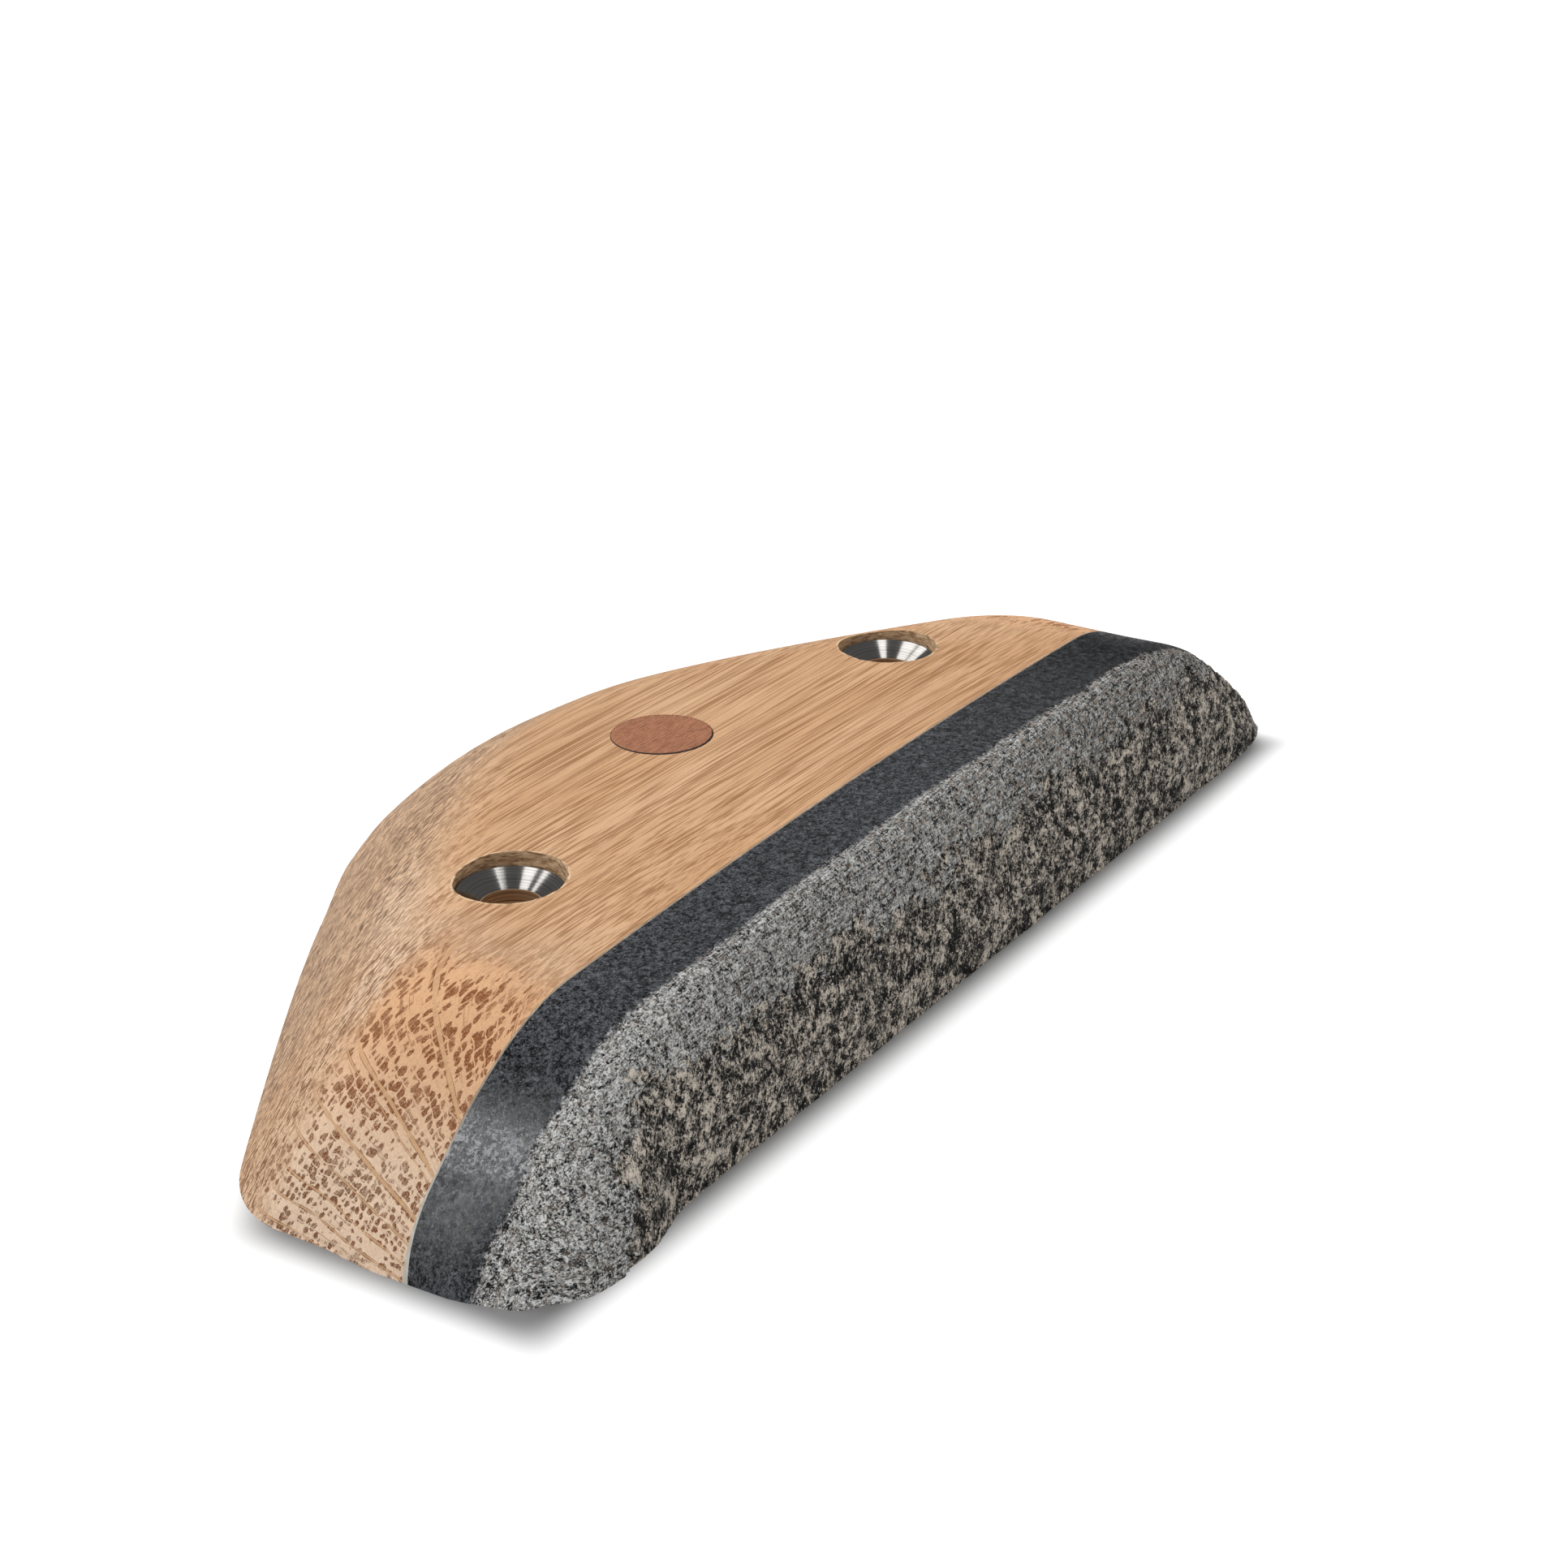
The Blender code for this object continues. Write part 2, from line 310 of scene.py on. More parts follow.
def new_mesh(name, vertices, faces):
    """Return a mesh of the given points and faces."""
    mesh = bpy.data.meshes.new(name)
    mesh.from_pydata(vertices, [], faces)
    mesh.validate()
    return mesh


def new_object(name, data):
    """Put a mesh, a lamp or a camera in the scene."""
    thing = bpy.data.objects.new(name, data)
    bpy.context.scene.collection.objects.link(thing)
    return thing


def box_mesh(low, high):
    """Return a box between two corners."""
    corners = list(itertools.product(*zip(low, high)))
    faces = [(0, 1, 3, 2), (4, 6, 7, 5), (0, 4, 5, 1), (2, 3, 7, 6), (0, 2, 6, 4), (1, 5, 7, 3)]
    return new_mesh("box", corners, faces)


def depth_slab(front, back):
    """Return a box between two depths, which runs well past both ends of the hold."""
    low = (-END_SPAN, front - MIDDLE_DEPTH, -OVERRUN)
    return box_mesh(low, (END_SPAN, back - MIDDLE_DEPTH, TOP_HEIGHT + OVERRUN))


def turned_mesh(name, profile, steps=ROUND_STEPS, ends="joined"):
    """Turn a profile of radii and heights, which runs down its outer side, round Z.

    Each radius may also be one number for each step, for a shape that isn't round. The ends of the
    profile are joined to each other, capped with flat faces or left open.
    """
    angles = 2 * math.pi * np.arange(steps) / steps
    rows = []
    for radius, height in profile:
        reach = np.broadcast_to(radius, steps)
        level = np.broadcast_to(height, steps)
        rows.append(np.stack((np.cos(angles) * reach, np.sin(angles) * reach, level), axis=-1))
    vertices = np.concatenate(rows).tolist()
    faces = []
    pairs = list(zip(range(len(rows)), range(1, len(rows))))
    if ends == "joined":
        pairs.append((len(rows) - 1, 0))
    for upper, lower in pairs:
        first = upper * steps + np.arange(steps)
        second = lower * steps + np.arange(steps)
        faces.extend(np.stack((second, np.roll(second, -1), np.roll(first, -1), first), axis=1).tolist())
    if ends == "capped":
        faces.append(list(range(steps)))
        faces.append(list(range(len(vertices) - steps, len(vertices)))[::-1])
    return new_mesh(name, vertices, faces)


def evaluated_mesh(piece):
    """Return the mesh that an object's modifiers make of it."""
    state = bpy.context.evaluated_depsgraph_get()
    return bpy.data.meshes.new_from_object(piece.evaluated_get(state))


def cut_mesh(mesh, cutters, operation="DIFFERENCE"):
    """Return a mesh cut with others in turn."""
    piece = new_object("uncut", mesh)
    knives = []
    for cutter in cutters:
        knife = new_object("knife", cutter)
        knives.append(knife)
        modifier = piece.modifiers.new("cut", "BOOLEAN")
        modifier.solver = "MANIFOLD"
        modifier.operation = operation
        modifier.object = knife
    result = evaluated_mesh(piece)
    for thing in (piece, *knives):
        bpy.data.objects.remove(thing, do_unlink=True)
    return result


def mesh_points(mesh):
    """Return the mesh's points as rows of X, Y and Z."""
    points = np.empty(len(mesh.vertices) * 3)
    mesh.vertices.foreach_get("co", points)
    return points.reshape(-1, 3)


def set_points(mesh, points):
    """Move the mesh's points."""
    mesh.vertices.foreach_set("co", points.astype(np.float32).ravel())
    mesh.update()


def shade(mesh, sharp_angle=SHARP_ANGLE):
    """Shade a mesh smooth between its sharp edges, and keep and return the places of its points."""
    points = mesh_points(mesh)
    rest = mesh.attributes.new("rest", "FLOAT_VECTOR", "POINT")
    rest.data.foreach_set("vector", points.astype(np.float32).ravel())
    mesh.shade_smooth()
    mesh.set_sharp_from_angle(angle=sharp_angle)
    return points


# Patterns built from nodes


class Field:
    """A value worked out by nodes. One formula serves a material and a geometry tree alike."""

    def __init__(self, tree, socket):
        self.tree = tree
        self.socket = socket

    def made(self, kind, inputs, output=0, **settings):
        """Add a node, feed its inputs, and return one of its outputs."""
        node = self.tree.nodes.new(kind)
        for name, value in settings.items():
            setattr(node, name, value)
        for slot, value in inputs.items():
            if isinstance(value, Field):
                self.tree.links.new(value.socket, node.inputs[slot])
            else:
                node.inputs[slot].default_value = value
        return Field(self.tree, node.outputs[output])

    def math(self, operation, *others):
        """Add a Math node."""
        return self.made("ShaderNodeMath", dict(enumerate((self, *others))), operation=operation)

    def __add__(self, other):
        return self.math("ADD", other)

    def __sub__(self, other):
        return self.math("SUBTRACT", other)

    def __rsub__(self, other):
        return self.math("MULTIPLY_ADD", -1.0, other)

    def __mul__(self, other):
        return self.math("MULTIPLY", other)

    def __truediv__(self, other):
        return self.math("DIVIDE", other)

    def __neg__(self):
        return self.math("MULTIPLY", -1.0)

    def squared(self):
        """Return the value times itself."""
        return self.math("POWER", 2.0)

    def size(self):
        """Return the value without its sign."""
        return self.math("ABSOLUTE")

    def least(self, other):
        """Return the lower of two values."""
        return self.math("MINIMUM", other)

    def most(self, other):
        """Return the higher of two values."""
        return self.math("MAXIMUM", other)

    def rise(self, low, high):
        """Return 0 below low and 1 above high, or the other way round, with a smooth step between."""
        return self.ramp(low, high, "SMOOTHSTEP")

    def ramp(self, low, high, curve="LINEAR"):
        """Return 0 below low and 1 above high, with an even slope between."""
        return self.made("ShaderNodeMapRange", {0: self, 1: low, 2: high}, interpolation_type=curve)


def vector(x, y, z):
    """Return a vector of three fields."""
    return x.made("ShaderNodeCombineXYZ", {0: x, 1: y, 2: z})


def noise(x, y, z, detail=0.0, roughness=0.5):
    """Return smooth noise about 0, whose lattice is one unit wide."""
    place = vector(x, y, z)
    inputs = {"Vector": place, "Scale": 1.0, "Detail": detail, "Roughness": roughness}
    return place.made("ShaderNodeTexNoise", inputs) - 0.5


def crystals(x, y, z, randomness=1.0):
    """Return the distance to the heart of the nearest cell, and two chances for that cell.

    There is about one cell to a unit.
    """
    place = vector(x, y, z)
    inputs = {"Vector": place, "Scale": 1.0, "Randomness": randomness}
    distance = place.made("ShaderNodeTexVoronoi", inputs, output="Distance")
    chances = Field(distance.tree, distance.socket.node.outputs["Color"])
    return distance, channel(chances, 0), channel(chances, 1)


def channel(colour, number):
    """Return one number of a vector or colour."""
    return colour.made("ShaderNodeSeparateXYZ", {0: colour}, output=number)


def coloured(first, second, share):
    """Return a colour between two, by a share from 0 to 1."""
    return share.made("ShaderNodeMix", {0: share, 6: first, 7: second}, output=2, data_type="RGBA")


def brightened(colour, factor):
    """Return a colour times a number."""
    return factor.made("ShaderNodeVectorMath", {0: colour, "Scale": factor}, operation="SCALE")


def in_millimetres(place):
    """Return the x, depth and height of a place, in millimetres."""
    x, y, z = (channel(place, number) for number in range(3))
    return x * (1 / MM), y * (1 / MM) + MIDDLE_DEPTH / MM, z * (1 / MM)


# Oak


def oak_pattern(place):
    """Return the marks of the oak at a place, most of them as shares from 0 to 1."""
    x, depth, z = in_millimetres(place)
    bend = noise(x * 0.012, depth * 0.05, z * 0.05, 1.0) * 3.0
    radius = ((depth - HEART_DEPTH).squared() + (z - HEART_HEIGHT).squared()).math("SQRT")
    ring = radius + x * RING_LEAN + bend
    sweep = 1.0 - ((27.0 - depth) / 35.0).math("EXPONENT")
    spread = sweep * 0.98 + 1.0
    across = (z - sweep * 7.7) / spread + noise(x * 0.012, depth * 0.02, z * 0.03) * 1.6

    # Fresh end grain on the end face, then a worn strip, then the back slope
    edge = x.size() + (depth - 28.0) * 0.10 + noise(x * 0.05, depth * 0.1, z * 0.1) * 10.0
    ragged_edge = noise(x * 0.5, depth * 0.5, z * 0.5, 3.0) * 9.0
    end_grain = (depth + ragged_edge).rise(61.0, 51.0) * (edge + ragged_edge).rise(84.0, 98.0)
    worn = edge.rise(74.0, 98.0) * depth.rise(78.0, 58.0) * (1.0 - end_grain)
    worn = worn * (x.rise(60.0, 20.0) * 0.8 + 0.2)
    back = depth.rise(58.0, 80.0) * z.rise(31.5, 25.0)

    # Dark patches of latewood between the small rays
    column = across * (1.0 - across * 0.009) / BLOCK_WIDTH
    row = ring / BLOCK_DEPTH
    warp = noise(x * 0.03, row * 0.4, column * 0.4, 1.0) * 1.2
    heart, chance, other_chance = crystals(x / BLOCK_LENGTH, column + warp, row - warp, 0.55)
    ragged = noise(x * 0.5, column * 2.2, row * 2.8, 4.0, 0.7)
    between = (column + warp + ragged * 0.25).math("PINGPONG", 0.5).rise(0.02, 0.10)
    patchy = noise(x * 0.04, row * 0.16, column * 0.18, 1.0)
    room = chance * 0.20 + patchy * 0.06 + end_grain * 0.10 + 0.28
    block = (room - heart + ragged * 0.55).rise(-0.02, 0.05) * between
    block = block * (other_chance * 0.4 + ragged * 1.4 + patchy * 1.2 + 0.66).least(1.0).most(0.25)

    # Broad rays, each with a line of painted shade along both sides
    wavy = noise(x * 0.05, depth * 0.07, z * 0.07) * 0.8
    thick = noise(x * 0.2, depth * 0.35, z * 0.35, 1.0)
    from_ray = None
    for height, half_width in RAYS:
        beside = (across - height + wavy).size() * spread - half_width
        from_ray = beside if from_ray is None else from_ray.least(beside)
    from_ray = from_ray - thick * 0.2
    ray = from_ray.rise(0.03, -0.03) * end_grain
    seam = from_ray.rise(0.16, 0.05) * (1.0 - ray) * end_grain * (thick * 4.0 + 0.5).least(1.0).most(0.0)
    small_rays = noise(x * 0.1, ring * 0.12, across * 5.0, 1.0).rise(0.12, 0.26) * end_grain

    # Lines along the grain, from growth rings down to single fibres
    bands = noise(x * 0.010, ring * 0.28, across * 0.2)
    streaks = noise(x * 0.026, ring * 1.9, across * 1.6, 1.0)
    lines = noise(x * 0.034, ring * 5.0, across * 4.4, 1.0)
    fibres = noise(x * 0.20, depth * 7.0, z * 7.0, 3.0, 0.6)
    vessels = noise(x * 0.14, ring * 4.2, across * 3.6, 1.0)
    dashes = noise(x * 0.35, depth * 2.2, z * 0.65, 2.0, 0.6)
    strokes = noise(x * 0.9, ring * 3.2, across * 1.8, 3.0, 0.65)
    specks = noise(x * 2.4, depth * 4.5, z * 4.5, 3.0, 0.75)
    cloud = noise(x * 0.02, depth * 0.06, z * 0.06, 2.0)
    return dict(x=x, depth=depth, z=z, end_grain=end_grain, worn=worn, back=back, block=block, ray=ray,
                seam=seam, small_rays=small_rays, bands=bands, streaks=streaks, lines=lines,
                fibres=fibres, vessels=vessels, dashes=dashes, strokes=strokes, specks=specks,
                cloud=cloud)


def oak_relief(place):
    """Return how far the oak stands out from its sanded surface, in millimetres."""
    oak = oak_pattern(place)
    x, depth, z = oak["x"], oak["depth"], oak["z"]
    pits = oak["block"] * oak["end_grain"] * 0.05
    torn = noise(x * 0.3, depth * 0.3, z * 0.6, 3.0, 0.6).rise(-0.05, 0.2) * 0.5
    torn = torn * z.rise(3.0, 0.0) * depth.rise(56.0, 46.0)
    # Rays stand out a little, and a shallow groove runs where their sides are painted with shade
    return oak["ray"] * 0.02 - oak["seam"] * 0.03 - pits - torn


def oak_material(bolts):
    """Bare sanded oak, with painted light inside the recesses, which are round the given middles."""
    shader, place = new_material("oak")
    oak = oak_pattern(place)
    x, depth, z = oak["x"], oak["depth"], oak["z"]
    end, back, worn = oak["end_grain"], oak["back"], oak["worn"]

    # Light wood and dark wood, each paler or warmer from zone to zone
    light = coloured(srgb(220, 174, 132), srgb(230, 188, 148), (oak["cloud"] * 2.0 + 0.5).rise(0.1, 0.9))
    light = coloured(light, srgb(238, 202, 168), (back * 0.7).most(worn))
    crest = (z - 25.0).size().rise(7.0, 0.0) * x.rise(-50.0, -80.0)
    light = coloured(light, srgb(250, 220, 190), crest * (1.0 - end) * 0.7)
    end_light = coloured(srgb(255, 224, 194), srgb(238, 188, 144), z.rise(8.0, 26.0))
    light = coloured(light, end_light, end)
    dark = coloured(srgb(160, 110, 70), srgb(118, 86, 62), back)
    dark = coloured(dark, srgb(128, 84, 52), worn)
    warm = (oak["cloud"] * 3.0 + z * 0.05 - 0.2).rise(0.0, 1.0)
    dark = coloured(dark, coloured(srgb(130, 82, 50), srgb(138, 78, 38), warm), end)

    # Share of dark wood: blocks across the grain, and lines, vessels and dashes along it
    open_grain = end * 0.90 + (back + worn).least(1.0) * 0.60 + 0.02
    blocks = oak["block"] * (oak["specks"] * 2.5 + 1.0) * open_grain
    plain = 1.0 - x.rise(-20.0, 110.0) * 0.35
    along = (oak["bands"] * 0.6 + oak["streaks"] * 2.0 + oak["lines"] * 2.6) * plain + 0.38
    along = along.rise(0.15, 0.85) * (1.0 - end) * (0.82 - worn * 0.40 - back * 0.3)
    open_pores = depth.rise(70.0, 30.0) * 0.5 + worn * 0.4
    vessels = oak["vessels"].rise(0.13, 0.24) * open_pores * (1.0 - end)
    dashes = oak["dashes"].rise(0.01, 0.07) * (back + worn).least(0.9)
    share = blocks.most(along).most(dashes).most(vessels)
    share = share + (oak["strokes"] * 1.3 + oak["specks"] * 0.8 - 0.02) * (end + worn * 0.7 + back * 0.5)
    share = share.most(oak["small_rays"] * 0.5)
    colour = coloured(light, dark, share.most(0.0).least(1.0))
    # Painted shade along both sides of each broad ray
    colour = coloured(colour, srgb(140, 88, 50), oak["seam"] * 0.8)
    colour = coloured(colour, srgb(226, 180, 136), oak["ray"] * 0.9)
    tone = oak["fibres"] * (0.5 - end * 0.2) + oak["specks"] * (end * 0.5 + 0.45) + 1.0
    tone = tone - depth.rise(60.0, 100.0) * 0.08
    colour = brightened(colour, tone)

    # Drilled walls round the bolts' axes, with painted light against their shade, paler toward the holes
    nearest = None
    for middle_x, middle_depth in bolts:
        offset = (x - middle_x).squared() + (depth - middle_depth).squared()
        nearest = offset if nearest is None else nearest.least(offset)
    from_axis = nearest.math("SQRT")
    wall = from_axis.rise(10.5, 10.2)
    drilled = noise(x * 0.5, depth * 0.5, z * 2.5, 4.0, 0.65)
    painted_light_wall = coloured(srgb(150, 112, 80), srgb(248, 214, 174), (drilled * 3.0 + 0.6).rise(0.1, 0.9))
    painted_light_wall = coloured(painted_light_wall, srgb(222, 188, 148), from_axis.rise(7.0, 6.0) * 0.8)
    colour = coloured(colour, painted_light_wall, wall * 0.85)
    link(shader, "Base Color", colour)
    link(shader, "Roughness", oak["fibres"] * 0.2 + 0.7)
    grain = oak["fibres"] * 0.5 + oak["specks"] * 0.5 - oak["block"] * end * 0.5 + drilled * wall * 2.0
    add_bump(shader, grain, 0.00010, 0.6)
    shader["Specular IOR Level"].default_value = 0.15
    return shader.material


# Stone: honed beside the joint, ground over the shoulder and split down the front


def swirled(x, y, z, pitch, amount):
    """Return a place pushed about by smooth noise, so that patterns on it lose their straight edges."""
    place = vector(x * pitch, y * pitch, z * pitch)
    inputs = {"Vector": place, "Scale": 1.0, "Detail": 1.0}
    push = place.made("ShaderNodeTexNoise", inputs, output="Color")
    return tuple(old + (channel(push, number) - 0.5) * amount for number, old in enumerate((x, y, z)))


def stone_pattern(place):
    """Return the zones and grains of the stone at a place."""
    x, depth, z = in_millimetres(place)
    waver = noise(x * 0.09, depth * 0.2, z * 0.12, 2.0) * 2.6
    waver = waver + noise(x * 1.4, depth * 1.4, z * 1.4, 4.0, 0.7) * 4.0
    honed = depth + waver + x.rise(20.0, 110.0) * 0.9
    honed = honed.rise(GROUND_DEPTH - GROUND_EDGE, GROUND_DEPTH + GROUND_EDGE)
    limit = x.rise(-124.0, -96.0) * x.rise(142.0, 122.0) * (SPLIT_HEIGHT + 6.0) - 6.0
    far = noise(x * 0.10, depth * 0.1, z * 0.14, 1.0) * 16.0
    near = noise(x * 0.35, depth * 0.35, z * 0.35, 3.0, 0.65) * 22.0
    split = (limit - z + far + near).rise(-1.5, 1.5) * (1.0 - honed)
    sx, sy, sz = swirled(x, depth, z, 0.8, 0.7)
    clumps = noise(sx * 0.36, sy * 0.36, sz * 0.36, 4.0, 0.65)
    strokes = noise((sx * 0.6 + sz) * 0.8, sy * 2.0, (sx - sz * 0.6) * 2.4, 2.0, 0.6)
    fine = noise(sx * 2.4, sy * 2.4, sz * 2.4, 4.0, 0.95)
    grain, tint = crystals(sx * 1.5, sy * 1.5, sz * 1.5)[1:]
    grit, spark = crystals(sx * 3.6, sy * 3.6, sz * 3.6)[1:]
    return dict(x=x, depth=depth, z=z, honed=honed, split=split, clumps=clumps, strokes=strokes,
                fine=fine, grain=grain, tint=tint, grit=grit, spark=spark)


def stone_relief(place):
    """Return how far the stone stands out from its smooth surface, in millimetres."""
    stone = stone_pattern(place)
    x, depth, z = stone["x"], stone["depth"], stone["z"]
    broad = noise(x * 0.07, depth * 0.07, z * 0.09, 1.0) * 1.8
    rough = broad + stone["clumps"] * 2.0 + stone["strokes"] * 0.5 + stone["fine"] * 0.4 - 0.45
    beside_wall = z.rise(9.0, 1.0)
    rough = rough * (1.0 - beside_wall * 0.55) - beside_wall * 0.9
    ground = stone["fine"] * 0.2 + (stone["grit"] - 0.5) * 0.06 - 0.10
    level = stone["split"] * rough + (1.0 - stone["split"]) * (1.0 - stone["honed"]) * ground
    return level - stone["honed"] * stone["grain"].rise(0.93, 0.99) * 0.03


def stone_material():
    """Dark granite in its three finishes."""
    shader, place = new_material("granite")
    stone = stone_pattern(place)
    fine, grain, grit = stone["fine"], stone["grain"], stone["grit"]
    clumps, strokes = stone["clumps"], stone["strokes"]
    x, depth, z = stone["x"], stone["depth"], stone["z"]
    mottle = noise(x * 0.8, depth * 0.8, z * 0.8, 5.0, 0.7)
    single = (grain - 0.5) * 0.5 + (grit - 0.5) * 0.5
    # Rare white specks painted as glints of light
    spark = stone["spark"].rise(0.985, 0.995)
    scratch = noise(x * 0.3 + depth * 0.12, depth * 5.0 - x * 0.6, z * 5.0, 2.0).rise(0.16, 0.3)

    to_right = x.rise(0.0, 110.0)
    honed_tone = mottle * (to_right * 2.4 + 2.6) + fine * 5.0 + single * 0.8 + scratch * 0.3 + 0.34
    honed = coloured(srgb(12, 13, 15), srgb(130, 133, 140), honed_tone.ramp(0.0, 1.35))
    honed = coloured(honed, srgb(170, 174, 178), spark * 0.4)
    # Pale flecks where the left box's highlight falls: partly a paler vein, partly painted highlight
    along_vein_and_highlight = z + mottle * 12.0
    vein_and_painted_highlight = along_vein_and_highlight.rise(13.0, 16.0) * along_vein_and_highlight.rise(21.0, 18.0) * x.rise(-102.0, -112.0)
    flecks = (grain * 0.6 + fine * 2.4 + mottle * 1.5).rise(0.36, 0.46)
    honed = coloured(honed, srgb(240, 242, 244), vein_and_painted_highlight * flecks * 0.55)
    # Painted shade against glare: darker toward the right end, which mirrors the glowing floor, and at
    # the left end
    honed = brightened(honed, 0.92 - to_right * 0.66 - x.rise(-90.0, -118.0) * 0.22)

    long_scratch = noise(x * 0.16 + depth * 0.05, depth * 4.0 - x * 0.3, z * 4.0, 2.0, 0.6)
    ground_tone = single * 1.7 + fine * 5.8 + mottle * 3.2 + strokes * 1.2 + long_scratch * 2.6
    # Darker toward the right end, and painted light on the upper left shoulder, where the left box would
    # shine
    ground_tone = ground_tone + scratch * 0.3 + 0.33 - x.rise(-20.0, 110.0) * 0.17
    ground_tone = ground_tone + z.rise(8.0, 22.0) * x.rise(-60.0, -95.0) * 0.12
    ground = coloured(srgb(18, 18, 18), srgb(255, 255, 252), ground_tone.ramp(-0.2, 1.2))
    rusty = stone["tint"].rise(0.6, 0.9) * (x.rise(-80.0, 60.0) * 0.3 + 0.2)
    ground = coloured(ground, srgb(188, 166, 146), rusty)
    black = (grain + mottle * 0.6 + fine * 0.4).rise(0.90, 1.0)
    ground = coloured(ground, srgb(24, 24, 24), black * 0.6)

    split_tone = clumps * 5.4 + mottle * 3.4 + strokes * 3.4 + fine * 5.2 + single * 1.5
    split_tone = split_tone + 0.53 - x.rise(-90.0, -20.0) * 0.10
    split_share = split_tone.ramp(0.0, 1.45).math("POWER", 1.5)
    split = coloured(srgb(22, 22, 21), srgb(255, 242, 226), split_share)
    split = coloured(split, srgb(96, 100, 102), (mottle * 2.6).rise(0.1, 0.5) * 0.4)

    colour = coloured(ground, split, stone["split"])
    colour = coloured(colour, honed, stone["honed"])
    colour = coloured(colour, srgb(236, 236, 234), spark * (1.0 - stone["honed"]) * 0.8)
    link(shader, "Base Color", colour)
    polish = x.rise(110.0, 40.0) * 0.35 + 0.36
    link(shader, "Roughness", stone["honed"] * (grain * 0.34 + fine * 0.6 - polish) + 0.8)
    height = fine * (1.1 - stone["honed"]) + single * (1.0 - stone["honed"]) * 0.25
    add_bump(shader, height + (strokes + clumps) * stone["split"] * 0.9, 0.0003, 0.8)
    shader["Specular IOR Level"].default_value = 0.25
    return shader.material


# Other materials


class Shader:
    """The Principled shader of a new material."""

    def __init__(self, name):
        self.material = bpy.data.materials.new(name)
        self.material.use_nodes = True
        self.tree = self.material.node_tree
        self.node = self.tree.nodes["Principled BSDF"]

    def __getitem__(self, name):
        return self.node.inputs[name]


def new_material(name):
    """Return a material's shader and the place of each point before any relief."""
    shader = Shader(name)
    place = shader.tree.nodes.new("ShaderNodeAttribute")
    place.attribute_name = "rest"
    return shader, Field(shader.tree, place.outputs["Vector"])


def link(shader, name, field):
    """Feed one input of a shader."""
    shader.tree.links.new(field.socket, shader[name])


def add_bump(shader, height, distance, strength):
    """Roughen a shader by a height field, whose unit is a distance in metres."""
    bump = height.made("ShaderNodeBump", {"Height": height, "Distance": distance, "Strength": strength})
    link(shader, "Normal", bump)


def adhesive_material():
    """Hardened adhesive, paler where it is thick."""
    shader, place = new_material("adhesive")
    x, depth, z = in_millimetres(place)
    stain = noise(x * 0.6, depth * 2.0, z * 0.6, 3.0)
    share = (stain + 0.5).rise(0.2, 0.8)
    thin = coloured(srgb(140, 122, 102), srgb(190, 170, 146), share)
    thick = coloured(srgb(196, 188, 174), srgb(220, 216, 208), share)
    link(shader, "Base Color", coloured(thin, thick, z.rise(20.0, 9.0)))
    shader["Roughness"].default_value = 0.5
    add_bump(shader, stain, 0.0002, 0.5)
    return shader.material


def steel_material():
    """Turned stainless steel, with fine rings left by the tool."""
    shader, place = new_material("washer_steel")
    x, y, z = (channel(place, number) * (1 / MM) for number in range(3))
    radius = (x * x + y * y).math("SQRT")
    turning = noise(radius * 9.0, z * 9.0, x * 0.05, 3.0, 0.7)
    # The bore is a painted reflection of the oak round it: painted brown, paler in rings, and less
    # metallic
    bore = radius.rise(WASHER_BORE / 2 / MM + 0.2, WASHER_BORE / 2 / MM + 0.1)
    colour = coloured(srgb(120, 116, 112), srgb(166, 164, 161), (turning * 2.0 + 0.5).rise(0.1, 0.9))
    painted_light_wall = coloured(srgb(104, 80, 60), srgb(214, 178, 142), (turning * 2.4 + 0.5).rise(0.1, 0.9))
    link(shader, "Base Color", coloured(colour, painted_light_wall, bore))
    link(shader, "Roughness", turning * 0.12 + 0.12 + bore * 0.3)
    link(shader, "Metallic", 1.0 - bore * 0.8)
    add_bump(shader, turning, 0.00001, 0.3)
    return shader.material


def inlay_material():
    """Bare reddish wood, with painted shade along its rim on the front side, where the gap round the
    disc lies in shadow.
    """
    shader, place = new_material("inlay_wood")
    x, y, z = (channel(place, number) * (1 / MM) for number in range(3))
    back = y - (INLAY_DEPTH - MIDDLE_DEPTH) / MM
    radius = (x * x + back * back).math("SQRT")
    grain = noise(x * 0.3, y * 2.5, z * 2.5, 3.0, 0.6)
    fine = noise(x * 1.5, y * 8.0, z * 8.0, 2.0)
    tone = (grain * 1.2 + fine * 0.9 + 0.5).rise(0.15, 0.85)
    colour = coloured(srgb(138, 84, 56), srgb(196, 134, 98), tone)
    # Painted shade: a dark band along the rim, pushed outward toward the back so that it shows on the
    # front side only
    to_front = (x * 0.9 + back) * -0.05
    rim_painted_shade = (radius + to_front + noise(x * 2.0, y * 2.0, z * 2.0, 1.0) * 0.4).rise(9.55, 9.70)
    colour = coloured(colour, srgb(44, 30, 24), rim_painted_shade)
    link(shader, "Base Color", colour)
    shader["Roughness"].default_value = 0.6
    add_bump(shader, grain + fine, 0.00008, 0.6)
    return shader.material


# Relief


